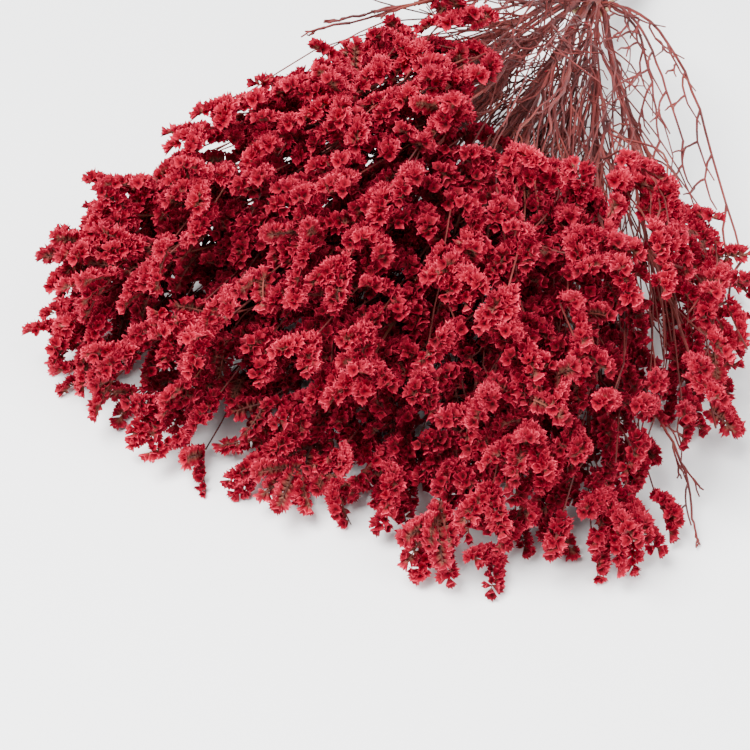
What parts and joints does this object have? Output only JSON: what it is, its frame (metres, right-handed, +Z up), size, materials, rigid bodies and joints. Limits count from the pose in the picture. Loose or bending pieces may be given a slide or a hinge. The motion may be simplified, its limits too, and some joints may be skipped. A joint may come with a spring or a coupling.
{
  "type": "dried flower bunch",
  "caption": "Tied bunch of dried, dyed statice lying on its side: thin stems fan out from a cord tie into curved spikes of small red funnel florets, for decoration",
  "frame": {"origin": "on the surface the bunch lies on, below the middle of its box", "axes": "+Y runs along the bunch from the flower heads to the cut stem ends, +Z is up, +X is the right side seen from the flower heads"},
  "size_m": [0.2723, 0.491, 0.1291],
  "materials": {
    "florets": "matte, papery",
    "stems": "matte, dry",
    "tie": "matte, fibrous"
  },
  "bodies": {
    "root": {"spray_01": "florets", "spray_02": "florets", "spray_03": "florets", "spray_04": "florets", "spray_05": "florets", "spray_06": "florets", "spray_07": "florets", "spray_08": "florets", "spray_09": "florets", "spray_10": "florets", "spray_11": "florets", "spray_12": "florets", "spray_13": "florets", "spray_14": "florets", "spray_15": "florets", "spray_16": "florets", "spray_17": "florets", "spray_18": "florets", "spray_19": "florets", "tie": "tie"}
  },
  "joints": []
}
